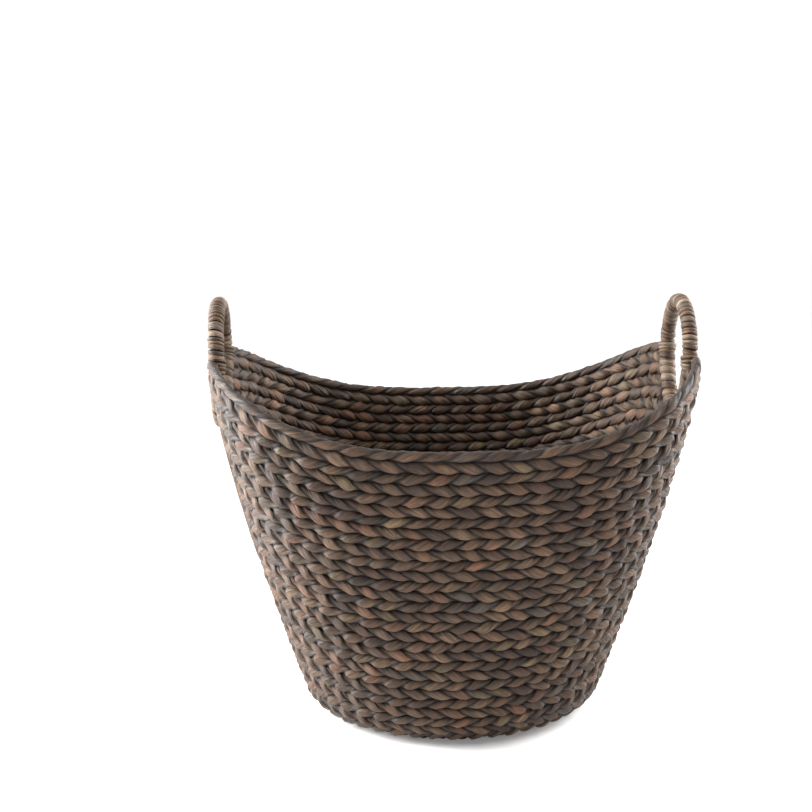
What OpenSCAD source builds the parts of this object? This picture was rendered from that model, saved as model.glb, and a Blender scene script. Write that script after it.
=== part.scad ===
// Woven laundry basket: rows of twined strands round an inner wire frame, with two wrapped ring handles.
// The origin is on the floor under the middle of the basket. X runs from handle to handle.

/* [Mouth] */
// Length of the mouth from end to end, over the weave
mouth_l = 500; // [470:2:560]
// Depth of the mouth from front to back, over the weave
mouth_d = 402; // [360:2:440]
// Height of the edge in the middle of the long sides
rim_low = 314; // [300:1:330]
// How much higher the edge would stand at the handles
rim_rise = 70; // [54:1:82]

/* [Foot] */
// Length of the foot before its corner is rounded
foot_l = 302; // [280:2:330]
// Depth of the foot before its corner is rounded
foot_d = 270; // [240:2:280]
// Rounding between the foot and the wall
foot_round = 26; // [18:1:26]
// How far the wall swells outward half way up
belly = 8; // [0:0.5:9]

/* [Weave] */
// Rows of twined strands from the foot to the edge
courses = 28; // [24:1:30]
// Thickness of the strand on each side of the frame wires
strand_t = 4.5; // [3.5:0.1:5]
// Room between the outer and the inner strands for the wires
wire_room = 3.6; // [3.4:0.1:4.2]
// Share of a row's pitch that its strands fill
row_fill = 0.92; // [0.8:0.01:0.95]
// Upright wires, which are also the stations of each row
stakes = 36; // [32:4:36]

/* [Handles] */
// Distance of each ring's middle plane from the centre
ring_x = 237; // [232:1:242]
// Height of the ring wire's top
ring_top = 432; // [430:1:448]
// Height of the ring wire's lowest point
ring_bottom = 315; // [308:1:320]
// Radius of the ring's wide upper arc, to the wire's centre
ring_upper_r = 52; // [48:1:56]
// Radius of the ring's narrow lower arc, to the wire's centre
ring_lower_r = 38; // [34:1:42]
// Radius of the ring wire
ring_wire_r = 3; // [2.5:0.1:4]
// Outside radius of the wrapping on the free part of the ring
wrap_r = 8; // [7:0.1:9]

/* [Hidden] */
wall_t = 2 * strand_t + wire_room;
mid_wall = wall_t / 2;
frame_wire_r = 1.5;
edge_h = 10;
edge_z = rim_low - edge_h / 2;
rise_power = 0.8;
foot_gap = 0.4;
wire_gap = 0.1;
foot_squareness = 1.9;
mouth_squareness = 3.07;
// The ring: arc centres, the slope of its straight legs, and their length.
upper_z = ring_top - ring_upper_r;
lower_z = ring_bottom + ring_lower_r;
leg_tilt = asin((ring_upper_r - ring_lower_r) / (upper_z - lower_z));
leg_l = (upper_z - lower_z) * cos(leg_tilt);
// The rows meet the ring just under the level of its upper arc's centre.
meeting = -5;
stretch_gap = 0.1;
lower_wrap_r = wrap_r + 0.6;
tie_r = lower_wrap_r + 1.3;
tie_span = [-10, 3];
ring_room = tie_r + 0.3;
fibre_t = 2.8;
fibre_top_z = ring_bottom - lower_wrap_r - 2;
straw = [0.36, 0.29, 0.24];
light_straw = [0.47, 0.4, 0.33];
wire_grey = [0.32, 0.31, 0.3];
$fn = 48;

function course_name(i) = str("course_", i < 10 ? "0" : "", i);

// ---- The wall: an oval that grows, and squares its corners, with height ----

// How much the rounded foot takes off each half-size at height z
function foot_cut(z) =
    z >= foot_round ? 0 : foot_round - sqrt(pow(foot_round, 2) - pow(foot_round - max(z, 0), 2));

// Half-size at height z of a wall that runs from one size at the foot to another at the mouth
function half_size(foot, mouth, z) =
    let (u = z / (rim_low + rim_rise))
    foot / 2 + (mouth - foot) / 2 * u + 4 * belly * u * (1 - u) - foot_cut(z);

function squareness(z) =
    foot_squareness + (mouth_squareness - foot_squareness) * min(z / rim_low, 1);

// Distance from the middle to an oval of half-sizes a and b, in the direction phi
function oval_r(phi, a, b, n) = pow(pow(abs(cos(phi)) / a, n) + pow(abs(sin(phi)) / b, n), -1 / n);

// Outward lean of the wall at height z, as length gained per unit of height
function lean(z) = half_size(foot_l, mouth_l, z + 0.2) / 0.4 - half_size(foot_l, mouth_l, z - 0.2) / 0.4;

// A point of the wall in direction phi, depth below its outer surface, measured square to it
function wall_point(phi, z, depth) =
    let (
        m = lean(z),
        slant = sqrt(1 + m * m),
        inset = depth / slant,
        r = oval_r(
            phi,
            half_size(foot_l, mouth_l, z) - inset,
            half_size(foot_d, mouth_d, z) - inset,
            squareness(z)
        )
    )
    [r * cos(phi), r * sin(phi), z + depth * m / slant];

// From 0 in the middle of the long sides to 1 at the handles
function climb(phi) =
    let (ends = pow(abs(cos(phi)) * 2 / mouth_l, 3), sides = pow(abs(sin(phi)) * 2 / mouth_d, 3))
    ends / (ends + sides);

// Height of the row at level s, which runs from 0 at the floor to 1 along the edge
function row_z(s, phi) = max(edge_z * s + rim_rise * pow(s, rise_power) * climb(phi), foot_gap);

function level(row) = row / (courses + 0.9);

// ---- Meshes from grids of points ----

// Two triangles on the corners a, b, c, d of a quad
function quad(a, b, c, d) = [[a, b, c], [a, c, d]];

// A closed loop of rings, each of count points, as one solid
module closed_sweep(rings) {
    count = len(rings[0]);
    stations = len(rings);
    points = [for (ring = rings) each ring];
    faces = [
        for (k = [0:stations - 1], j = [0:count - 1])
            let (near = k * count, far = ((k + 1) % stations) * count, next = (j + 1) % count)
            each quad(near + j, near + next, far + next, far + j)
    ];
    polyhedron(points, faces);
}

// An open row of rings with a flat cap at each end, as one solid
module open_sweep(rings) {
    count = len(rings[0]);
    last = len(rings) - 1;
    points = [for (ring = rings) each ring];
    sides = [
        for (k = [0:last - 1], j = [0:count - 1])
            let (near = k * count, far = near + count, next = (j + 1) % count)
            each quad(near + j, near + next, far + next, far + j)
    ];
    caps = [[for (j = [count - 1:-1:0]) j], [for (j = [0:count - 1]) last * count + j]];
    polyhedron(points, concat(sides, caps));
}

// ---- Weave ----

// One strand of a row: levels s0 to s1, and depths d0 to d1 below the outer surface
module strand_ring(s0, s1, d0, d1) {
    closed_sweep([
        for (k = [0:stakes - 1])
            let (phi = k * 360 / stakes)
            [
                wall_point(phi, row_z(s0, phi), d0),
                wall_point(phi, row_z(s0, phi), d1),
                wall_point(phi, row_z(s1, phi), d1),
                wall_point(phi, row_z(s1, phi), d0)
            ]
    ]);
}

// Room for both ring handles, through the whole length
module handle_room() {
    rotate([90, 0, 90])
        linear_extrude(height = mouth_l + 40, center = true)
            hull() {
                translate([0, upper_z]) circle(ring_upper_r + ring_room, $fn = 32);
                translate([0, lower_z]) circle(ring_lower_r + ring_room, $fn = 32);
            }
}

// True where a row has to stop at the handles
function meets_ring(row) = row_z(level(row + 0.5), 0) > ring_bottom - ring_room;

module both_strands(i) {
    s0 = level(i - 0.5 - row_fill / 2);
    s1 = level(i - 0.5 + row_fill / 2);
    strand_ring(s0, s1, 0, strand_t);
    strand_ring(s0, s1, strand_t + wire_room, wall_t);
}

module course(i) {
    color(straw)
        if (meets_ring(i))
            difference() {
                both_strands(i);
                handle_room();
            }
        else
            both_strands(i);
}

module rim_edge_strand() {
    color(straw)
        difference() {
            strand_ring(level(courses + 0.05), level(courses + 0.9) + edge_h / 2 / rim_low, 0, wall_t);
            handle_room();
        }
}

// ---- Floor ----

// Outline of the floor, which stands inside the first row
module floor_outline() {
    inset = 3;
    a = half_size(foot_l, mouth_l, foot_gap) - inset;
    b = half_size(foot_d, mouth_d, foot_gap) - inset;
    polygon([
        for (k = [0:stakes - 1])
            let (phi = k * 360 / stakes, r = oval_r(phi, a, b, foot_squareness))
            [r * cos(phi), r * sin(phi)]
    ]);
}

module floor_weave_under() {
    color(straw) linear_extrude(height = strand_t) floor_outline();
}

module floor_weave_over() {
    color(straw) translate([0, 0, strand_t + wire_room]) linear_extrude(height = strand_t) floor_outline();
}

// Straight wires in two layers, welded where they cross, between the two skins of the floor
module floor_grid_wires() {
    wire_r = wire_room / 4 - wire_gap / 4;
    a = half_size(foot_l, mouth_l, foot_gap) - 6;
    b = half_size(foot_d, mouth_d, foot_gap) - 6;
    pitch = 21;
    color(wire_grey) {
        for (k = [-5:5]) {
            half = b * sqrt(1 - pow(k * pitch / a, 2));
            translate([k * pitch, half, strand_t + wire_room / 2 - wire_r])
                rotate([90, 0, 0]) cylinder(h = 2 * half, r = wire_r, $fn = 16);
        }
        for (k = [-4:4]) {
            half = a * sqrt(1 - pow(k * pitch / b, 2));
            translate([-half, k * pitch, strand_t + wire_room / 2 + wire_r])
                rotate([0, 90, 0]) cylinder(h = 2 * half, r = wire_r, $fn = 16);
        }
    }
}

// ---- Wire frame in the wall ----

// Points of a small ring round a centre, spread along two directions
function round_section(centre, r, along_a, along_b, sides) =
    [for (j = [0:sides - 1]) centre + r * (cos(j * 360 / sides) * along_a + sin(j * 360 / sides) * along_b)];

function outward(phi) = [cos(phi), sin(phi), 0];
function sideways(phi) = [-sin(phi), cos(phi), 0];

module foot_hoop_wire() {
    color(wire_grey)
        closed_sweep([
            for (k = [0:stakes - 1])
                let (phi = k * 360 / stakes)
                round_section(wall_point(phi, row_z(level(0.3), phi), mid_wall), frame_wire_r,
                    [0, 0, 1], outward(phi), 6)
        ]);
}

// The uprights follow the wall from the foot hoop to the edge wire; those under a ring stop at it.
module stake_wires() {
    steps = 5;
    color(wire_grey)
        difference() {
            for (k = [0:stakes - 1])
                let (
                    phi = k * 360 / stakes,
                    low = row_z(level(1), phi),
                    high = row_z(level(courses - 0.45), phi)
                )
                open_sweep([
                    for (j = [0:steps])
                        let (z = low + (high - low) * j / steps)
                        round_section(wall_point(phi, z, mid_wall), frame_wire_r,
                            outward(phi), sideways(phi), 6)
                ]);
            handle_room();
        }
}

// One wire along each long side, at the top of the last row, from ring to ring
module rim_wires() {
    color(wire_grey)
        difference() {
            closed_sweep([
                for (k = [0:stakes - 1])
                    let (phi = k * 360 / stakes)
                    round_section(wall_point(phi, row_z(level(courses - 0.2), phi), mid_wall), frame_wire_r,
                        [0, 0, 1], outward(phi), 6)
            ]);
            handle_room();
        }
}

// ---- Ring handles ----

module section(r_in, r_out) {
    difference() {
        circle(r_out);
        circle(r_in);
    }
}

// A stretch of round tube on an arc of the ring, from one angle to another, in the ring's own plane
module arc_tube(arc_r, from, to, r_in, r_out) {
    rotate([0, 0, from])
        rotate_extrude(angle = to - from, $fn = 96)
            translate([arc_r, 0]) section(r_in, r_out);
}

// Turn along an arc that leaves a stretch of wrapping just clear of the next
function gap_turn(arc_r) = stretch_gap / arc_r * 180 / PI;

// Stands a shape from the ring's own plane up at the end that side gives
module at_ring(side) {
    translate([side * ring_x, 0, upper_z]) rotate([90, 0, 90]) children();
}

// Rings of points round the ring wire, on an arc about the height centre_y
function arc_sections(arc_r, centre_y, from, to, steps) = [
    for (k = [0:steps])
        let (turn = from + (to - from) * k / steps, out = [cos(turn), sin(turn), 0])
        round_section([0, centre_y, 0] + arc_r * out, ring_wire_r, out, [0, 0, 1], 8)
];

// One closed wire: the wide upper arc, and the narrow lower arc, joined by straight legs
module ring_wire(side) {
    color(wire_grey)
        at_ring(side)
            closed_sweep(concat(
                arc_sections(ring_upper_r, 0, -leg_tilt, 180 + leg_tilt, 26),
                arc_sections(ring_lower_r, lower_z - upper_z, 180 + leg_tilt, 360 - leg_tilt, 12)
            ));
}

module handle_wrap(side) {
    color(light_straw)
        at_ring(side) arc_tube(ring_upper_r, meeting, 180 - meeting, ring_wire_r + wire_gap, wrap_r);
}

// One side's stretches of the lower wrapping: the end of the upper arc, and the straight leg
module lower_wrap_side(r_in) {
    turn = gap_turn(ring_upper_r);
    arc_tube(ring_upper_r, -leg_tilt + turn, meeting - turn, r_in, lower_wrap_r);
    rotate([0, 0, -leg_tilt])
        translate([ring_upper_r, -stretch_gap, 0])
            rotate([90, 0, 0])
                linear_extrude(height = leg_l - 2 * stretch_gap) section(r_in, lower_wrap_r);
}

module lower_wrap(side) {
    r_in = ring_wire_r + wire_gap;
    turn = gap_turn(ring_lower_r);
    color(light_straw)
        at_ring(side) {
            lower_wrap_side(r_in);
            mirror([1, 0, 0]) lower_wrap_side(r_in);
            translate([0, lower_z - upper_z, 0])
                arc_tube(ring_lower_r, 180 + leg_tilt + turn, 360 - leg_tilt - turn, r_in, lower_wrap_r);
        }
}

// Bands that bind the edge of the basket to the ring, over the joint of the two wrappings
module ties(side) {
    r_in = lower_wrap_r + wire_gap;
    color(light_straw)
        at_ring(side) {
            arc_tube(ring_upper_r, tie_span[0], tie_span[1], r_in, tie_r);
            arc_tube(ring_upper_r, 180 - tie_span[1], 180 - tie_span[0], r_in, tie_r);
        }
}

// ---- Fibres that hang from the ring over the end wall ----

// A patch of the end wall: y up to half_top at the top and half_low at the bottom
module end_patch(side, z_low, z_top, half_low, half_top, depth0, depth1) {
    across = 6;
    down = 7;
    // Direction in which the wall lies half_y from the middle of its end
    function aim(half_y, z) = asin(half_y / half_size(foot_l, mouth_l, z));
    rotate([0, 0, side > 0 ? 0 : 180])
        open_sweep([
            for (i = [0:across])
                let (share = 2 * i / across - 1)
                [
                    for (j = [0:down])
                        let (z = z_low + (z_top - z_low) * j / down)
                        wall_point(share * aim(half_low + (half_top - half_low) * j / down, z), z, depth1),
                    for (j = [down:-1:0])
                        let (z = z_low + (z_top - z_low) * j / down)
                        wall_point(share * aim(half_low + (half_top - half_low) * j / down, z), z, depth0)
                ]
        ]);
}

module outer_fibres(side) {
    color(light_straw) end_patch(side, 140, fibre_top_z, 26, 36, -fibre_t - wire_gap, -wire_gap);
}

module inner_fibres(side) {
    color(light_straw)
        end_patch(side, 262, fibre_top_z - 3, 22, 32, wall_t + wire_gap, wall_t + fibre_t + wire_gap);
}

floor_weave_under();
floor_weave_over();
floor_grid_wires();
foot_hoop_wire();
stake_wires();
for (i = [1:courses]) course(i);
rim_wires();
rim_edge_strand();
ring_wire(-1);  // left_ring_wire
handle_wrap(-1);  // left_handle_wrap
lower_wrap(-1);  // left_lower_wrap
ties(-1);  // left_ties
outer_fibres(-1);  // left_outer_fibres
inner_fibres(-1);  // left_inner_fibres
ring_wire(1);  // right_ring_wire
handle_wrap(1);  // right_handle_wrap
lower_wrap(1);  // right_lower_wrap
ties(1);  // right_ties
outer_fibres(1);  // right_outer_fibres
inner_fibres(1);  // right_inner_fibres
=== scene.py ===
"""Laundry basket of twined plant fibre: two-ply rows of weave, a bound edge and two wrapped ring handles."""
import math

import bpy
import numpy as np
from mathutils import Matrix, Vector

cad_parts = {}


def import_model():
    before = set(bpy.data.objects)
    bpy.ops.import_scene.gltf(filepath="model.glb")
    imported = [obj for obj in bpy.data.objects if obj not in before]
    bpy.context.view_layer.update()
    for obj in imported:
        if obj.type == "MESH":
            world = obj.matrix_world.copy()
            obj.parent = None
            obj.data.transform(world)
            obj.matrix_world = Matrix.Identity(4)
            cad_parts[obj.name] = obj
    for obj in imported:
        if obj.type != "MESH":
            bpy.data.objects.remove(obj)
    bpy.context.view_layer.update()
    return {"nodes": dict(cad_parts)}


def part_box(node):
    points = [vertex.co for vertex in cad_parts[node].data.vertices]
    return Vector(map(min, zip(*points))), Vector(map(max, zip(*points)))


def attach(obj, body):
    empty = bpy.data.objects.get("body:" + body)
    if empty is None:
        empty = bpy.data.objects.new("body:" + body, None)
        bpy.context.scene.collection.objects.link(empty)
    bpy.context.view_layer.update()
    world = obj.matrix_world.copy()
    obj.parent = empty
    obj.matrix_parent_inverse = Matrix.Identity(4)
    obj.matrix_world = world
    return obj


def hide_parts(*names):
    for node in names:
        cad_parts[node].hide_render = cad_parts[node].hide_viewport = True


SEED = 516
MM = 0.001

# ---- The wall, as the CAD has it ----
COURSES = 28
RIM_RISE = 70 * MM
RISE_POWER = 0.8
CLIMB_POWER = 3
FOOT_ROUND = 26 * MM
FOOT_LENGTH = 302 * MM
FOOT_DEPTH = 270 * MM
MOUTH_LENGTH = 500 * MM
MOUTH_DEPTH = 402 * MM
BELLY = 8 * MM
RIM_LOW = 314 * MM
EDGE_HEIGHT = 10 * MM
EDGE_Z = RIM_LOW - EDGE_HEIGHT / 2
FOOT_SQUARENESS = 1.9
MOUTH_SQUARENESS = 3.07
WALL = 12.6 * MM
FOOT_GAP = 0.4 * MM
EDGE_ROW = COURSES + 0.9  # where the edge strand runs, counted in rows

# The ring handles' lower arc
RING_LOWER_RADIUS = 38 * MM

# ---- The twined strands ----
PITCH = 10.8 * MM  # between rows, where the sizes below are true
LOBE_LOW = 20 * MM  # length along a row that each lobe takes, at the foot
LOBE_HIGH = 23.5 * MM  # and at the edge
STEPS = 10  # stations in each lobe's length
AROUND = 14  # points round a strand
ROW_STRETCH = 1.016  # brings the top row up against the edge
ROW_FILL = 1.09  # height of a row against its thickness

DENSE = 1440  # points round a whole row's path


# ---------------------------------------------------------------- wall


def foot_cut(z):
    """How much the rounded foot takes off each half-size at height z."""
    below = FOOT_ROUND - np.clip(z, 0, FOOT_ROUND)
    return FOOT_ROUND - np.sqrt(FOOT_ROUND**2 - below**2)


def half_size(foot, mouth, z):
    """Half of the wall's length or depth at height z."""
    u = z / (RIM_LOW + RIM_RISE)
    return foot / 2 + (mouth - foot) / 2 * u + 4 * BELLY * u * (1 - u) - foot_cut(z)


def oval(phi, a, b, n):
    """Distance from the middle to an oval of half-sizes a and b and squareness n."""
    return ((np.abs(np.cos(phi)) / a) ** n + (np.abs(np.sin(phi)) / b) ** n) ** (-1 / n)


def wall_point(phi, z, depth):
    """Points of the wall in direction phi, depth below its outer surface."""
    step = 0.2 * MM
    widening = half_size(FOOT_LENGTH, MOUTH_LENGTH, z + step) - half_size(FOOT_LENGTH, MOUTH_LENGTH, z - step)
    lean = widening / (2 * step)
    slant = np.sqrt(1 + lean**2)
    inset = depth / slant
    squareness = FOOT_SQUARENESS + (MOUTH_SQUARENESS - FOOT_SQUARENESS) * np.minimum(z / RIM_LOW, 1)
    a = half_size(FOOT_LENGTH, MOUTH_LENGTH, z) - inset
    b = half_size(FOOT_DEPTH, MOUTH_DEPTH, z) - inset
    r = oval(phi, a, b, squareness)
    return np.stack([r * np.cos(phi), r * np.sin(phi), z + depth * lean / slant], -1)


def climb(phi):
    """From 0 in the middle of the long sides to 1 at the handles."""
    ends = (np.abs(np.cos(phi)) * 2 / MOUTH_LENGTH) ** CLIMB_POWER
    sides = (np.abs(np.sin(phi)) * 2 / MOUTH_DEPTH) ** CLIMB_POWER
    return ends / (ends + sides)


def row_z(level, phi):
    """Height of the row at a level that runs from 0 at the floor to 1 along the edge."""
    return np.maximum(EDGE_Z * level + RIM_RISE * level**RISE_POWER * climb(phi), FOOT_GAP)


def row_level(row):
    """Level of a row counted from the floor."""
    return row / EDGE_ROW


def unit(v):
    return v / np.linalg.norm(v, axis=-1, keepdims=True)


def wall_normal(phi, z, depth):
    """Outward normal of the wall."""
    turn = 0.002
    step = 0.4 * MM
    along = wall_point(phi + turn, z, depth) - wall_point(phi - turn, z, depth)
    up = wall_point(phi, z + step, depth) - wall_point(phi, z - step, depth)
    return unit(np.cross(along, up))


# ---------------------------------------------------------------- paths


class Path:
    """A line of points with an outward and an upward direction at each, closed or open."""

    def __init__(self, points, out, closed, gap=None):
        self.closed = closed
        if closed:
            ahead, behind = np.roll(points, -1, 0), np.roll(points, 1, 0)
            tangent = unit(ahead - behind)
        else:
            tangent = unit(np.gradient(points, axis=0))
        up = unit(np.cross(out, tangent))
        out = unit(np.cross(tangent, up))
        gap = np.ones(len(points)) if gap is None else gap
        columns = np.column_stack([points, out, up, tangent, gap])
        if closed:
            columns = np.vstack([columns, columns[:1]])
        steps = np.linalg.norm(np.diff(columns[:, :3], axis=0), axis=1)
        self.at = np.concatenate([[0], np.cumsum(steps)])
        self.columns = columns
        self.length = self.at[-1]

    def sample(self, s):
        """Points, outward, upward and forward directions, and gap, at distances s along the path."""
        s = s % self.length if self.closed else np.clip(s, 0, self.length)
        got = np.column_stack([np.interp(s, self.at, c) for c in self.columns.T])
        return got[:, :3], unit(got[:, 3:6]), unit(got[:, 6:9]), unit(got[:, 9:12]), got[:, 12]


def row_path(row, phi, closed, depth=WALL / 2):
    """Path of a row's middle, with its local pitch as a share of PITCH."""
    level = row_level(row)
    z = row_z(level, phi)
    points = wall_point(phi, z, depth)
    out = wall_normal(phi, z, depth)
    low = wall_point(phi, row_z(row_level(row - 0.5), phi), depth)
    high = wall_point(phi, row_z(row_level(row + 0.5), phi), depth)
    if closed:
        tangent = unit(np.roll(points, -1, 0) - np.roll(points, 1, 0))
    else:
        tangent = unit(np.gradient(points, axis=0))
    up = unit(np.cross(out, tangent))
    gap = np.sum((high - low) * up, axis=1) / PITCH
    return Path(points, out, closed, gap)


class Ring:
    """Middle line of a ring handle, in its own upright plane."""

    def __init__(self, side):
        low, high = (Vector(v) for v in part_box(side + "_ring_wire"))
        self.side = 1 if side == "right" else -1
        self.x = (low.x + high.x) / 2
        wire = (high.x - low.x) / 2
        self.wide = high.y - wire
        self.narrow = RING_LOWER_RADIUS
        self.upper_z = high.z - wire - self.wide
        self.lower_z = low.z + wire + self.narrow
        self.tilt = math.asin((self.wide - self.narrow) / (self.upper_z - self.lower_z))

    def line(self, start, end, count=400):
        """Path from one turn to another. Turns are radians round the upper arc from +Y."""
        upper = np.linspace(-self.tilt, math.pi + self.tilt, count)
        lower = np.linspace(math.pi + self.tilt, 2 * math.pi - self.tilt, count // 2)
        leg = np.linspace(0, 1, count // 4)[1:-1, None]
        one = self.arc(upper, self.wide, self.upper_z)
        two = self.arc(lower, self.narrow, self.lower_z)
        loop = np.vstack([one, one[-1] + (two[0] - one[-1]) * leg, two, two[-1] + (one[0] - two[-1]) * leg])
        first = int(np.argmin(np.linalg.norm(loop - self.spot(start), axis=1)))
        last = int(np.argmin(np.linalg.norm(loop - self.spot(end), axis=1)))
        if last <= first:
            points = np.vstack([loop[first:], loop[: last + 1]])
        else:
            points = loop[first : last + 1]
        return Path(points, np.tile([float(self.side), 0.0, 0.0], (len(points), 1)), False)

    def arc(self, turn, radius, z):
        return np.stack([np.full_like(turn, self.x), radius * np.cos(turn), z + radius * np.sin(turn)], -1)

    def spot(self, turn):
        return self.arc(np.array([turn]), self.wide, self.upper_z)[0]

    def room(self, y, z, extra):
        """Distance outside the ring's middle line, less extra; negative inside."""
        r1 = self.narrow + extra
        r2 = self.wide + extra
        h = self.upper_z - self.lower_z
        across = np.abs(y)
        up = z - self.lower_z
        b = (r1 - r2) / h
        a = math.sqrt(1 - b * b)
        k = -b * across + a * up
        below = np.hypot(across, up) - r1
        above = np.hypot(across, up - h) - r2
        side = a * across + b * up - r1
        return np.where(k < 0, below, np.where(k > a * h, above, side))


# ---------------------------------------------------------------- meshes


def grid_faces(stations, around, closed, offset):
    """Quads of a tube of stations x around points."""
    last = stations if closed else stations - 1
    k, j = np.meshgrid(np.arange(last), np.arange(around), indexing="ij")
    after, side = (k + 1) % stations, (j + 1) % around
    quads = np.stack([k * around + j, k * around + side, after * around + side, after * around + j], -1)
    return quads.reshape(-1, 4) + offset


class Bundle:
    """Gathers tubes into one mesh object."""

    def __init__(self):
        self.points, self.quads, self.caps = [], [], []
        self.strand, self.lobe = [], []
        self.count = 0

    def tube(self, rings, closed, strand, lobe, capped=True):
        """rings is stations x around x 3; strand and lobe hold the point attributes in the same order."""
        stations, around = rings.shape[:2]
        self.quads.append(grid_faces(stations, around, closed, self.count))
        if capped and not closed:
            first = self.count + np.arange(around)[::-1]
            end = self.count + (stations - 1) * around + np.arange(around)
            self.caps += [first, end]
        self.points.append(rings.reshape(-1, 3))
        self.strand.append(strand.reshape(-1, 3))
        self.lobe.append(lobe.reshape(-1, 4))
        self.count += stations * around

    def build(self, name, material, nodes):
        """Makes the mesh object, which replaces the CAD nodes named."""
        quads = np.vstack(self.quads)
        loops = np.concatenate([quads.ravel(), *self.caps]).astype(np.int32)
        sizes = np.array([4] * len(quads) + [len(c) for c in self.caps], dtype=np.int32)
        starts = np.concatenate([[0], np.cumsum(sizes)[:-1]]).astype(np.int32)
        points = np.vstack(self.points)
        me = bpy.data.meshes.new(name)
        me.vertices.add(len(points))
        me.vertices.foreach_set("co", points.astype(np.float32).ravel())
        me.loops.add(len(loops))
        me.loops.foreach_set("vertex_index", loops)
        me.polygons.add(len(sizes))
        me.polygons.foreach_set("loop_start", starts)
        me.update(calc_edges=True)
        me.polygons.foreach_set("use_smooth", np.ones(len(sizes), dtype=bool))
        strand = me.attributes.new("strand", "FLOAT_VECTOR", "POINT")
        strand.data.foreach_set("vector", np.vstack(self.strand).astype(np.float32).ravel())
        lobe = me.attributes.new("lobe", "FLOAT_COLOR", "POINT")
        lobe.data.foreach_set("color", np.vstack(self.lobe).astype(np.float32).ravel())
        me.materials.append(material)
        ob = bpy.data.objects.new(name, me)
        bpy.context.scene.collection.objects.link(ob)
        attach(ob, "root")
        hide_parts(*nodes)


def wander(rng, s, wavelength, count=1, loop=None):
    """Smooth random values along s, from -1 to 1. They join up after the length loop, where it is given."""
    if loop:
        knots = max(2, round(loop / wavelength))
        wavelength = loop / knots
    else:
        knots = int(np.max(s) / wavelength) + 4
    values = rng.uniform(-1, 1, (count, knots))
    at = s / wavelength
    k = np.floor(at).astype(int)
    f = at - k
    f = f * f * (3 - 2 * f)
    return values[:, k % knots] * (1 - f) + values[:, (k + 1) % knots] * f


ROW_STRAND = {
    "radius": 6.2 * MM,  # of the round that the two strands make together
    "notch": 0.24,  # how deep the groove between them is, as a share of the radius
    "tip": 1.25 * MM,  # how far lower tips stand out and upper tips are tucked in
    "dwell": 0.38,  # how long each strand stays on its face before it crosses
    "taper": 0.2,  # how much it narrows where it crosses
    "core": (2.7 * MM, 6.3 * MM),  # half-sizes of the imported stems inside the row
}
TOP_CORE = (2.7 * MM, 8.6 * MM)  # in the top row it reaches up into the edge
OUTER = 6.2 * MM  # distance of the fullest lobes from the row's middle line
LOBE_SCATTER = 0.13  # how far a lobe's ends stray, in lobes
SIZE_SCATTER = 0.07  # how much the lobes differ in radius
HEIGHT_SCATTER = 0.35 * MM  # and in height
END_TAPER = 5 * MM  # length over which a cut end of rope narrows
FOLD_LENGTH = 15 * MM  # how fast the folds of a strand wander
CORE_STEP = 8 * MM
CORE_AROUND = 8


def rope(bundle, path, lobe_length, twist, rng, size=ROW_STRAND):
    """Two strands twined along a path, with lobes about lobe_length long on each face."""
    lobes = max(2, 2 * round(path.length / lobe_length / 2))
    marks = np.arange(lobes + 1, dtype=float)
    marks[1:-1] += rng.uniform(-LOBE_SCATTER, LOBE_SCATTER, lobes - 1)
    u = np.linspace(0, lobes, lobes * STEPS + 1)
    s = u / lobes * path.length
    count = np.interp(u, marks, np.arange(lobes + 1))
    frames = path.sample(s)
    ends = np.ones(len(s))
    if not path.closed:
        ends = np.clip(np.minimum(s, path.length - s) / END_TAPER, 0.1, 1) ** 0.5
    for ply in range(2):
        add_ply(bundle, size, twist, count + ply, lobes, s, frames, ends, path, rng)
    add_core(bundle, size["core"], path)


def smooth(x, low, high):
    """From 0 at low to 1 at high, without corners."""
    f = np.clip((x - low) / (high - low), 0, 1)
    return f * f * (3 - 2 * f)


def add_core(bundle, half_sizes, path):
    """The stems packed inside a row, seen only as the dark at the bottom of its grooves; their colour carries
    the full painted groove shade.
    """
    stations = max(8, int(path.length / CORE_STEP))
    s = np.linspace(0, path.length, stations, endpoint=not path.closed)
    points, out, up, _, gap = path.sample(s)
    angle = np.arange(CORE_AROUND) / CORE_AROUND * 2 * math.pi
    across = half_sizes[0] * np.cos(angle) * np.ones((stations, 1))
    high = half_sizes[1] * np.sin(angle) * gap[:, None]
    rings = points[:, None] + out[:, None] * across[..., None] + up[:, None] * high[..., None]
    strand = np.stack([np.broadcast_to(s[:, None], high.shape), across, high], -1)
    # All zeros: the darkest colour stop and, through the third channel, the full painted groove shade.
    lobe = np.zeros(high.shape + (4,))
    bundle.tube(rings, path.closed, strand, lobe)


def half_round(notch):
    """Section of one strand: turns and shares of the radius, round the middle line of the row."""
    outer = np.linspace(-math.pi / 2, math.pi / 2, AROUND - 2)
    reach = 1 - notch * smooth(np.abs(outer), 0.75, math.pi / 2) ** 1.5
    inner_turn = math.pi * 0.6
    inner_reach = 0.3
    angle = np.concatenate([outer, [inner_turn, -inner_turn]])
    return angle[None], np.concatenate([reach, [inner_reach, inner_reach]])[None]


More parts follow.
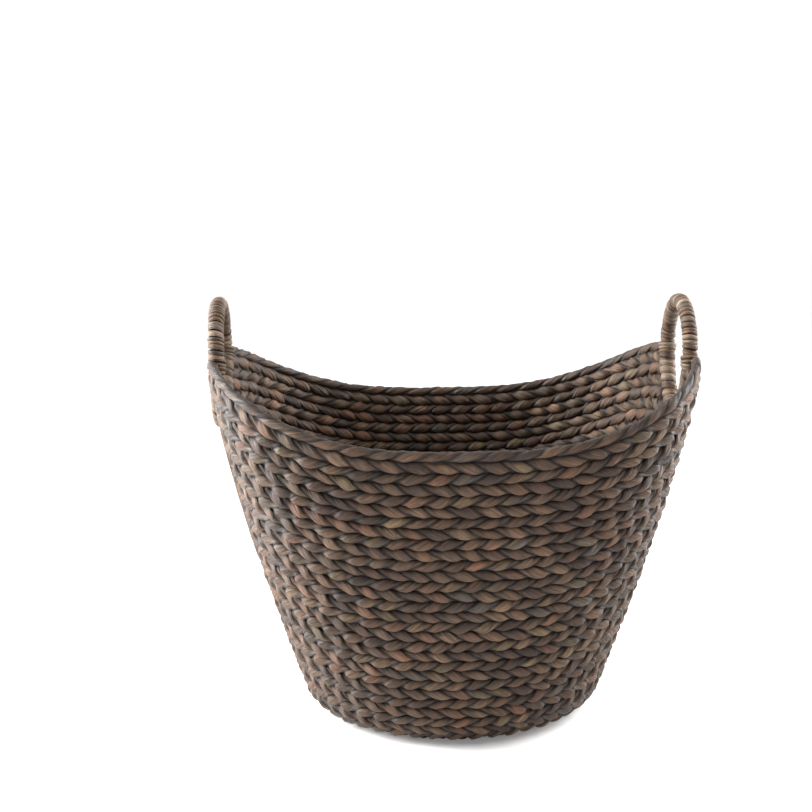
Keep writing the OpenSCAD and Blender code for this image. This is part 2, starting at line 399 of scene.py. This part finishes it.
def add_ply(bundle, size, twist, half_turns, lobes, s, frames, ends, path, rng):
    """One strand of a rope. half_turns is even at its lobes on the outer face and odd on the inner one."""
    points, out, up, _, gap = frames
    eased = half_turns - size["dwell"] * np.sin(2 * math.pi * half_turns) / (2 * math.pi)
    theta = (twist * math.pi * eased)[:, None]
    full = np.abs(np.cos(theta)) ** 1.5
    looks = rng.uniform(0, 1, (lobes, 4))
    sizes = rng.normal(0, 1, (lobes, 4)).clip(-2, 2)
    mine = sizes[np.round(half_turns).astype(int) % lobes]
    angle, reach = half_round(size["notch"])
    wide, fine = wander(rng, s, FOLD_LENGTH, 2, path.length if path.closed else None)[..., None]
    pleat = 1 + 0.03 * np.sin(7 * angle + 3 * wide) + 0.025 * np.sin(11 * angle + 4 * fine)
    fat = size["radius"] * (1 - size["taper"] * (1 - full) + SIZE_SCATTER * mine[:, 0:1] * full) * pleat
    short = fat * reach * np.cos(angle)
    long = fat * reach * np.sin(angle)
    outward = short * np.cos(theta) - long * np.sin(theta) - size["tip"] * np.sin(2 * theta)
    upward = (short * np.sin(theta) + long * np.cos(theta)) * gap[:, None] * ROW_FILL
    upward += HEIGHT_SCATTER * mine[:, 3:4] * full
    outward, upward = outward * ends[:, None], upward * ends[:, None]
    rings = points[:, None] + out[:, None] * outward[..., None] + up[:, None] * upward[..., None]
    front = 2 * np.round(half_turns / 2)
    back = 2 * np.floor(half_turns / 2) + 1
    index = np.where(outward > 0, front[:, None], back[:, None]).astype(int) % lobes
    seed = looks[index]
    strand = np.stack([s[:, None] + seed[..., 3] * 0.3, short, long], -1)
    # Painted shade: the third lobe channel darkens the strand where it sinks toward the row's middle line, at
    # crossings and between rows, and along the split between the two strands.
    groove = smooth(np.abs(angle), 0.85, 1.5)
    lobe = np.empty(short.shape + (4,))
    lobe[..., 0] = seed[..., 0]
    lobe[..., 1] = seed[..., 1]
    lobe[..., 2] = smooth(np.abs(outward) / OUTER, 0.2, 0.85) * (1 - groove)
    lobe[..., 3] = seed[..., 2]
    bundle.tube(rings, False, strand, lobe, capped=not path.closed)


COIL_STEPS = 22  # stations in each turn
COIL_AROUND = 10
STEM_AROUND = 8


def coil(bundle, path, rng, width, radius, thick, crowd, spread, lean=0.0):
    """A flat strand wound round a path.

    width, give or take the share spread, is what one turn takes of the path. radius is how far out the
    strand reaches, thick half its thickness, crowd its width against the turn's, and lean its slant.
    """
    turns = max(2, round(path.length / width))
    widths = 1 + rng.uniform(-spread, spread, turns)
    marks = np.concatenate([[0], np.cumsum(widths)]) / widths.sum() * path.length
    t = np.linspace(0, turns, turns * COIL_STEPS + 1)
    s = np.interp(t, np.arange(turns + 1), marks)
    local = np.interp(t, np.arange(turns) + 0.5, np.diff(marks))
    points, out, up, along, _ = path.sample(s)
    turn = 2 * math.pi * t
    outward = out * np.cos(turn)[:, None] + up * np.sin(turn)[:, None]
    bumps = wander(rng, s * 12, 17 * MM)[0]
    index = np.minimum(np.floor(t).astype(int), turns - 1)
    middle = radius - thick + (0.25 * bumps + 0.35 * rng.uniform(-1, 1, turns)[index]) * MM
    slants = lean + 0.5 * MM * rng.uniform(-1, 1, turns)[index]
    centre = points + outward * middle[:, None] + along * (slants * np.sin(turn))[:, None]
    angle = np.arange(COIL_AROUND) / COIL_AROUND * 2 * math.pi
    flat = np.sign(np.cos(angle)) * np.abs(np.cos(angle)) ** 0.8
    ends = np.clip(np.minimum(t, turns - t) * 4, 0.1, 1)
    side = (local * crowd / 2 * ends)[:, None] * flat
    deep = thick * ends[:, None] * np.sin(angle)
    rings = centre[:, None] + along[:, None] * side[..., None] + outward[:, None] * deep[..., None]
    looks = rng.uniform(0, 1, (turns, 3))[index]
    run = t * 2 * math.pi * radius
    strand = np.stack([np.broadcast_to(run[:, None], side.shape), side, deep], -1)
    lobe = np.ones(side.shape + (4,))
    lobe[..., 0] = looks[:, 0:1]
    lobe[..., 1] = looks[:, 1:2]
    # Painted shade: the third channel darkens the inner face and the sides of each turn, in the creases
    # between turns.
    lobe[..., 2] = smooth(np.sin(angle), 0.0, 0.8)
    lobe[..., 3] = looks[:, 2:3]
    bundle.tube(rings, False, strand, lobe)


def stem(bundle, points, out, wide, thick, rng):
    """One flat strand along a line of points. wide and thick are its half-sizes at each point."""
    path = Path(points, out, False)
    along = unit(np.gradient(points, axis=0))
    side = unit(np.cross(out, along))
    face = unit(np.cross(along, side))
    angle = np.arange(STEM_AROUND) / STEM_AROUND * 2 * math.pi
    a = wide[:, None] * np.cos(angle)
    d = thick[:, None] * np.sin(angle)
    rings = points[:, None] + side[:, None] * a[..., None] + face[:, None] * d[..., None]
    looks = rng.uniform(0, 1, 4)
    strand = np.stack([np.broadcast_to(path.at[:, None], a.shape) + looks[3], a, d], -1)
    lobe = np.ones(a.shape + (4,))
    lobe[..., 0], lobe[..., 1], lobe[..., 3] = looks[0], looks[1], looks[2]
    bundle.tube(rings[:, ::-1], False, strand[:, ::-1], lobe)


# ---------------------------------------------------------------- pieces


ROPE_ROOM = 6.2 * MM  # how close to a ring's middle line the rows come
SEAM_STEP = 2.4  # radians from where one whole row starts to where the next does


def row_arcs(row, ring):
    """The whole turn of a row, or its front and back arcs where the rings interrupt it."""
    phi = np.arange(DENSE) / DENSE * 2 * math.pi
    points = wall_point(phi, row_z(row_level(row), phi), WALL / 2)
    free = ring.room(points[:, 1], points[:, 2], ROPE_ROOM) > 0
    if free.all():
        return [(phi + row * SEAM_STEP, True)]
    half = DENSE // 2
    arcs = []
    for start in (0, half):
        mine = np.arange(start, start + half)
        arcs.append((phi[mine[free[mine]]], False))
    return arcs


def build_course(i, ring, material):
    rng = np.random.default_rng(SEED + i)
    bundle = Bundle()
    lobe_length = LOBE_LOW + (LOBE_HIGH - LOBE_LOW) * i / COURSES
    twist = 1 if i % 2 else -1
    row = (i - 0.5) * ROW_STRETCH
    size = dict(ROW_STRAND, core=TOP_CORE) if i == COURSES else ROW_STRAND
    for phi, closed in row_arcs(row, ring):
        rope(bundle, row_path(row, phi, closed), lobe_length, twist, rng, size)
    bundle.build("row_%02d" % i, material, ["course_%02d" % i])


EDGE_LOBE = 26 * MM
EDGE_STRAND = {
    "radius": 4.9 * MM,
    "notch": 0.3,
    "tip": 0.4 * MM,
    "dwell": 0.2,
    "taper": 0.12,
    "core": (2.0 * MM, 3.5 * MM),
}


def build_edge(ring, material):
    rng = np.random.default_rng(SEED + 40)
    bundle = Bundle()
    for phi, closed in row_arcs(EDGE_ROW, ring):
        rope(bundle, row_path(EDGE_ROW, phi, closed), EDGE_LOBE, 1, rng, EDGE_STRAND)
    bundle.build("edge_binding", material, ["rim_edge_strand"])


def build_floor(material):
    """Oval turns of the same twined rope, one within the next."""
    rng = np.random.default_rng(SEED + 50)
    low, high = (Vector(v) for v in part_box("floor_weave_under"))
    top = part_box("floor_weave_over")[1][2]
    middle_z = (low.z + top) / 2
    a, b = (high.x - low.x) / 2, (high.y - low.y) / 2
    centre = 0.65  # how far the last turn stays from the middle, in pitches
    rings = round(b / PITCH - centre) + 1
    pitch = b / (rings - 1 + centre)
    bundle = Bundle()
    phi = np.arange(DENSE) / DENSE * 2 * math.pi
    for k in range(rings):
        inset = pitch * k
        r = oval(phi, a - inset, b - inset, FOOT_SQUARENESS)
        points = np.stack([r * np.cos(phi), r * np.sin(phi), np.full_like(r, middle_z)], -1)
        down = np.tile([0.0, 0.0, -1.0], (DENSE, 1))
        path = Path(points, down, True, np.full(DENSE, pitch / PITCH))
        rope(bundle, path, LOBE_LOW, 1 if k % 2 else -1, rng)
    nodes = ["floor_weave_under", "floor_weave_over"]
    bundle.build("floor_weave", material, nodes)


MEETING = math.radians(-5)  # turn of the ring where its two wrappings meet
GRIP_WRAP = {"width": 5.0 * MM, "radius": 8 * MM, "thick": 2.1 * MM, "crowd": 1.04, "spread": 0.42}
ROOT_WRAP = {"width": 8.6 * MM, "radius": 8.7 * MM, "thick": 2.3 * MM, "crowd": 1.06, "spread": 0.3}
TIE_WRAP = {"width": 4.6 * MM, "radius": 9.7 * MM, "thick": 1.9 * MM, "crowd": 1.05, "spread": 0.3}
TIE_LEAN = 2.4 * MM
TIE_TURNS = ((-10, 3), (177, 190))  # where each tie starts and ends round the ring, in degrees


def build_handle(side, ring, material):
    rng = np.random.default_rng(SEED + 60 + ring.side)
    bundle = Bundle()
    coil(bundle, ring.line(MEETING, math.pi - MEETING), rng, **GRIP_WRAP)
    bundle.build(side + "_grip_coil", material, [side + "_handle_wrap"])


def build_lower_wrap(side, ring, material):
    rng = np.random.default_rng(SEED + 70 + ring.side)
    bundle = Bundle()
    coil(bundle, ring.line(math.pi - MEETING, MEETING), rng, **ROOT_WRAP)
    bundle.build(side + "_root_coil", material, [side + "_lower_wrap"])


def build_ties(side, ring, material):
    rng = np.random.default_rng(SEED + 80 + ring.side)
    bundle = Bundle()
    for start, end in TIE_TURNS:
        path = ring.line(math.radians(start), math.radians(end), 1600)
        coil(bundle, path, rng, **TIE_WRAP, lean=TIE_LEAN * ring.side)
    bundle.build(side + "_edge_ties", material, [side + "_ties"])


def end_line(side, y, z, depth):
    """Points and outward directions of an end wall at heights z, y from its middle."""
    phi = np.arcsin(np.clip(y / half_size(FOOT_LENGTH, MOUTH_LENGTH, z), -1, 1))
    if side < 0:
        phi = math.pi - phi
    return wall_point(phi, z, depth), wall_normal(phi, z, depth)


def ring_foot(ring, y):
    """Height of the ring's middle line, y from its middle, on its lower half."""
    return ring.lower_z - math.sqrt(max(ring.narrow**2 - y**2, 0))


FIBRES_HALF = 35  # half of the fibres' width under a ring, in millimetres
STEM_COUNT = 17  # in each layer
STEM_STATIONS = 34
STEM_RAGGED = 34  # how uneven their lower ends are, in millimetres
STEM_ARCH = 26 * MM  # how much higher the outermost ones end
STEM_THICK = 1.75 * MM  # half-thickness


def build_outer_fibres(side, ring, material):
    """Two layers of long stems that leave the ring's root and lie down the end wall, drawing together."""
    rng = np.random.default_rng(SEED + 90 + ring.side)
    low = Vector(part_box(side + "_outer_fibres")[0])
    bundle = Bundle()
    for layer in range(2):
        for k in range(STEM_COUNT):
            share = (2 * k + layer) / (STEM_COUNT - 0.5) - 1
            top_y = share * FIBRES_HALF * MM
            top = ring_foot(ring, top_y) - 1 * MM
            bottom = low.z + rng.uniform(0, STEM_RAGGED) * MM + STEM_ARCH * share**2
            z = np.linspace(top, bottom, STEM_STATIONS)
            t = (top - z) / (top - bottom)
            y = top_y * (1 - 0.3 * t) + 2.2 * MM * wander(rng, t * 4, 1.0)[0] * np.minimum(t * 4, 1)
            lift = (0.3 - 1.1 * layer) * MM + 0.9 * MM * wander(rng, t * 5, 1.0)[0]
            tuck = 7 * MM * np.clip((t - 0.86) / 0.14, 0, 1) ** 2
            start = 5 * MM * np.clip(1 - t / 0.05, 0, 1)
            points, out = end_line(ring.side, y, z, lift + tuck + start)
            half_width = (2.9 + 0.5 * rng.uniform(-1, 1)) * MM * (1 - 0.35 * t)
            wide = half_width * np.clip((1.02 - t) / 0.1, 0.1, 1)
            thick = STEM_THICK * np.clip((1.02 - t) / 0.08, 0.15, 1)
            stem(bundle, points, out, wide, thick, rng)
    bundle.build(side + "_end_stems", material, [side + "_outer_fibres"])


LEAF_TIERS = 3
LEAF_OVERLAP = 4 * MM  # how far the top tier reaches up behind the ring
LEAF_DROP = 17 * MM  # from one tier to the next
LEAF_ARCH = 9 * MM  # how much higher the outermost leaves of a tier start
LEAF_LENGTH = 34 * MM
LEAF_WIDE = 4.4 * MM  # half-width
LEAF_THICK = 2.4 * MM  # half-thickness
LEAF_STATIONS = 16


def build_inner_fibres(side, ring, material):
    """Short upright leaves of fibre under the ring, inside, in staggered tiers."""
    rng = np.random.default_rng(SEED + 110 + ring.side)
    high = Vector(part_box(side + "_inner_fibres")[1])
    bundle = Bundle()
    t = np.linspace(0, 1, LEAF_STATIONS)
    for tier in range(LEAF_TIERS):
        count = 9 - tier % 2
        for k in range(count):
            share = (2 * k + 1) / count - 1
            top = high.z + LEAF_OVERLAP - tier * LEAF_DROP + LEAF_ARCH * share**2
            z = top - LEAF_LENGTH * t
            y = share * (FIBRES_HALF - 5 * tier) * MM * (1 + 0.1 * t) + 1.5 * MM * np.sin(3 * t + 5 * share)
            depth = WALL + (1.4 - 3.2 * np.abs(2 * t - 1) ** 3) * MM
            points, out = end_line(ring.side, y, z, depth)
            body = np.sin(math.pi * np.clip(t, 0.03, 0.97)) ** 0.6
            stem(bundle, points, out, LEAF_WIDE * body, LEAF_THICK * body, rng)
    bundle.build(side + "_inner_leaves", material, [side + "_inner_fibres"])


# ---------------------------------------------------------------- materials


ESPRESSO = (0.034, 0.016, 0.008)
UMBER = (0.061, 0.031, 0.016)
TAUPE = (0.081, 0.047, 0.026)
RUSSET = (0.094, 0.042, 0.021)
KHAKI = (0.088, 0.057, 0.026)
SLATE = (0.052, 0.038, 0.030)
STRAW = (0.150, 0.108, 0.074)
GREIGE = (0.118, 0.084, 0.058)
DARK_IRON = (0.035, 0.028, 0.024)
IRON = (0.07, 0.06, 0.052)


class Look:
    """A procedural material under construction."""

    def __init__(self, name):
        self.material = bpy.data.materials.new(name)
        self.material.use_nodes = True
        self.tree = self.material.node_tree
        self.tree.nodes.clear()
        output = self.tree.nodes.new("ShaderNodeOutputMaterial")
        self.shader = self.tree.nodes.new("ShaderNodeBsdfPrincipled")
        self.tree.links.new(self.shader.outputs[0], output.inputs["Surface"])

    def node(self, kind, **settings):
        made = self.tree.nodes.new("ShaderNode" + kind)
        for key, value in settings.items():
            setattr(made, key, value)
        return made

    def put(self, node, socket, value):
        """Links value to a socket, or sets it there."""
        if isinstance(value, bpy.types.NodeSocket):
            self.tree.links.new(value, node.inputs[socket])
        else:
            node.inputs[socket].default_value = value

    def math(self, operation, *values):
        made = self.node("Math", operation=operation)
        for k, value in enumerate(values):
            self.put(made, k, value)
        return made.outputs[0]

    def attribute(self, name):
        return self.node("Attribute", attribute_name=name, attribute_type="GEOMETRY")

    def ramp(self, factor, stops):
        made = self.node("ValToRGB")
        elements = made.color_ramp.elements
        while len(elements) > 1:
            elements.remove(elements[-1])
        for k, (at, colour) in enumerate(stops):
            element = elements[0] if k == 0 else elements.new(at)
            element.position = at
            element.color = (*colour, 1)
        self.put(made, "Fac", factor)
        return made.outputs["Color"]

    def noise(self, vector, scale, detail=3.0):
        made = self.node("TexNoise")
        self.put(made, "Vector", vector)
        self.put(made, "Scale", scale)
        self.put(made, "Detail", detail)
        self.put(made, "Roughness", 0.55)
        return made.outputs["Fac"]

    def streaks(self, strand, along, across, detail, from_low, from_high):
        """Noise drawn out along a strand: its scales along and across it, spread to fill 0 to 1."""
        made = self.node("VectorMath", operation="MULTIPLY")
        self.put(made, 0, strand)
        self.put(made, 1, (along, across, across))
        return self.spread(self.noise(made.outputs[0], 1.0, detail), 0, 1, from_low, from_high)

    def spread(self, value, low, high, from_low=0.0, from_high=1.0):
        made = self.node("MapRange")
        self.put(made, "Value", value)
        self.put(made, "From Min", from_low)
        self.put(made, "From Max", from_high)
        self.put(made, "To Min", low)
        self.put(made, "To Max", high)
        return made.outputs[0]

    def tint(self, colour, factor):
        """A colour times a plain factor."""
        made = self.node("VectorMath", operation="SCALE")
        self.put(made, 0, colour)
        self.put(made, "Scale", factor)
        return made.outputs[0]


ROUGHNESS = 0.6
RIDGE_HEIGHT = 0.7 * MM


def fibre_look(name, stops, contrast=0.6, painted_groove_shade=0.2):
    """Dried plant fibre: each lobe has its own colour, with streaks and fine ridges along it, and painted
    shade in its grooves and crossings.

    contrast is how much the lobes differ in brightness; the argument after it is how bright the painted shade
    leaves the grooves between them.
    """
    look = Look(name)
    strand = look.attribute("strand").outputs["Vector"]
    parts = look.node("SeparateColor")
    look.put(parts, 0, look.attribute("lobe").outputs["Color"])
    hue, value, full = parts.outputs[0], parts.outputs[1], parts.outputs[2]
    streaks = look.streaks(strand, 24.0, 400.0, 3.0, 0.32, 0.68)
    blots = look.streaks(strand, 70.0, 110.0, 2.0, 0.32, 0.68)
    lines = look.streaks(strand, 30.0, 950.0, 2.0, 0.3, 0.7)
    base = look.ramp(look.math("ADD", hue, look.spread(blots, -0.05, 0.05)), stops)
    shade = look.spread(value, 1 - contrast / 2, 1 + contrast / 2)
    # The full factor is painted shade: it takes the grooves, crossings and cores down to the given groove
    # brightness.
    parts_of_shade = (
        (streaks, 0.5, 1.5),
        (blots, 0.75, 1.25),
        (lines, 0.6, 1.4),
        (full, painted_groove_shade, 1.0),
    )
    for part, low, high in parts_of_shade:
        shade = look.math("MULTIPLY", shade, look.spread(part, low, high))
    look.put(look.shader, "Base Color", look.tint(base, shade))
    look.put(look.shader, "Roughness", look.spread(streaks, ROUGHNESS - 0.1, ROUGHNESS + 0.2))
    look.shader.inputs["Specular IOR Level"].default_value = 0.4
    bump = look.node("Bump")
    height = look.math("ADD", streaks, look.math("MULTIPLY", lines, 0.5))
    look.put(bump, "Height", height)
    look.put(bump, "Strength", 1.0)
    look.put(bump, "Distance", RIDGE_HEIGHT)
    look.put(look.shader, "Normal", bump.outputs[0])
    return look.material


def wire_look():
    """Dull dark iron with a fine grain."""
    look = Look("frame_wire")
    look.shader.inputs["Metallic"].default_value = 0.6
    grain = look.noise(look.node("TexCoord").outputs["Object"], 900.0)
    look.put(look.shader, "Base Color", look.ramp(grain, [(0.3, DARK_IRON), (0.7, IRON)]))
    look.put(look.shader, "Roughness", look.spread(grain, 0.7, 0.95))
    return look.material


def weave_look():
    """Mostly brown, with some reddish, olive and grey lobes."""
    browns = [(0.0, ESPRESSO), (0.3, UMBER), (0.66, TAUPE)]
    others = [(0.8, RUSSET), (0.87, UMBER), (0.94, KHAKI), (1.0, SLATE)]
    return fibre_look("weave", browns + others)


def handle_look():
    stops = [(0.0, UMBER), (0.35, TAUPE), (0.6, GREIGE), (0.85, STRAW), (1.0, TAUPE)]
    return fibre_look("handle_wrap", stops, 0.7, 0.15)


def edge_look():
    stops = [(0.0, ESPRESSO), (0.35, UMBER), (0.7, TAUPE), (1.0, SLATE)]
    return fibre_look("edge_strand", stops, 0.6, 0.3)


def stem_look():
    stops = [(0.0, ESPRESSO), (0.3, UMBER), (0.55, GREIGE), (0.8, TAUPE), (1.0, GREIGE)]
    return fibre_look("fibres", stops, 0.8, 1.0)


# ---------------------------------------------------------------- stage


def build_stage():
    """A glossy white floor."""
    me = bpy.data.meshes.new("studio_floor")
    half = 12.0
    corners = [(-half, -half, 0), (half, -half, 0), (half, half, 0), (-half, half, 0)]
    me.from_pydata(corners, [], [(0, 1, 2, 3)])
    look = Look("studio_floor")
    look.shader.inputs["Base Color"].default_value = (0.85, 0.85, 0.85, 1)
    look.shader.inputs["Roughness"].default_value = 0.12
    look.shader.inputs["Specular IOR Level"].default_value = 0.4
    look.shader.inputs["Emission Color"].default_value = (1, 1, 1, 1)
    look.shader.inputs["Emission Strength"].default_value = 0.15
    me.materials.append(look.material)
    floor = bpy.data.objects.new("studio_floor", me)
    bpy.context.scene.collection.objects.link(floor)


def add_light(name, place, aim, size, power):
    light = bpy.data.lights.new(name, "AREA")
    light.shape = "RECTANGLE"
    light.size, light.size_y = size
    light.energy = power
    ob = bpy.data.objects.new(name, light)
    ob.location = place
    ob.rotation_euler = (Vector(aim) - Vector(place)).to_track_quat("-Z", "Y").to_euler()
    bpy.context.scene.collection.objects.link(ob)


WORLD_DIM = 0.2
WORLD_BRIGHT = 1.08


def fall_off(tree, value, start, end, bright, dim):
    """Goes from bright at start to dim at end."""
    fall = tree.nodes.new("ShaderNodeMapRange")
    fall.interpolation_type = "SMOOTHSTEP"
    fall.inputs["From Min"].default_value = start
    fall.inputs["From Max"].default_value = end
    fall.inputs["To Min"].default_value = bright
    fall.inputs["To Max"].default_value = dim
    tree.links.new(value, fall.inputs["Value"])
    return fall.outputs[0]


def build_world():
    """A white room: bright behind the basket and round the horizon, dimmer above and in front of it."""
    world = bpy.data.worlds.new("studio")
    world.use_nodes = True
    tree = world.node_tree
    background = tree.nodes["Background"]
    background.inputs["Color"].default_value = (1, 1, 1, 1)
    direction = tree.nodes.new("ShaderNodeTexCoord")
    parts = tree.nodes.new("ShaderNodeSeparateXYZ")
    tree.links.new(direction.outputs["Generated"], parts.inputs[0])
    behind = fall_off(tree, parts.outputs["Y"], 0.7, -0.3, WORLD_BRIGHT, WORLD_DIM)
    horizon = fall_off(tree, parts.outputs["Z"], 0.22, 0.5, WORLD_BRIGHT, WORLD_DIM)
    most = tree.nodes.new("ShaderNodeMath")
    most.operation = "MAXIMUM"
    tree.links.new(behind, most.inputs[0])
    tree.links.new(horizon, most.inputs[1])
    tree.links.new(most.outputs[0], background.inputs["Strength"])
    bpy.context.scene.world = world


def build_lights():
    """A softbox at each end of the basket, the left one stronger, and a weak one above its front."""
    middle = (0, 0, 0.25)
    add_light("left_softbox", (-1.8, 0.25, 0.95), middle, size=(0.9, 1.6), power=175)
    add_light("right_softbox", (1.8, 0.6, 1.0), middle, size=(0.9, 1.6), power=95)
    add_light("top_softbox", (0.35, -0.75, 2.1), middle, size=(1.4, 1.4), power=27)
    bpy.context.scene.view_settings.view_transform = "Standard"


CAMERA_AIM = Vector((0, 0, 0.2))
CAMERA_DISTANCE = 1.5
CAMERA_RISE = 0.2539  # radians above the horizon
CAMERA_TURN = 0.0722  # and from the front towards the left
CAMERA_LENS = 62.41
CAMERA_SHIFT = (-0.0569, 0.143)


def build_camera():
    data = bpy.data.cameras.new("camera")
    data.lens = CAMERA_LENS
    data.shift_x, data.shift_y = CAMERA_SHIFT
    data.clip_end = 60
    ob = bpy.data.objects.new("camera", data)
    away = Vector((
        -math.cos(CAMERA_RISE) * math.sin(CAMERA_TURN),
        -math.cos(CAMERA_RISE) * math.cos(CAMERA_TURN),
        math.sin(CAMERA_RISE),
    ))
    ob.location = CAMERA_AIM + away * CAMERA_DISTANCE
    ob.rotation_euler = (-away).to_track_quat("-Z", "Y").to_euler()
    bpy.context.scene.collection.objects.link(ob)
    bpy.context.scene.camera = ob


# ---------------------------------------------------------------- main


WIRE_NODES = (
    "floor_grid_wires",
    "foot_hoop_wire",
    "stake_wires",
    "rim_wires",
    "left_ring_wire",
    "right_ring_wire",
)


def main():
    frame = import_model()
    ring = Ring("right")
    weave, handle, edge, stems = weave_look(), handle_look(), edge_look(), stem_look()
    for i in range(1, COURSES + 1):
        build_course(i, ring, weave)
    build_edge(ring, edge)
    build_floor(weave)
    for side in ("left", "right"):
        own = Ring(side)
        build_handle(side, own, handle)
        build_lower_wrap(side, own, handle)
        build_ties(side, own, handle)
        build_outer_fibres(side, own, stems)
        build_inner_fibres(side, own, stems)
    wire = wire_look()
    for node in WIRE_NODES:
        ob = frame["nodes"][node]
        ob.data.materials.clear()
        ob.data.materials.append(wire)
    build_stage()
    build_world()
    build_lights()
    build_camera()


main()
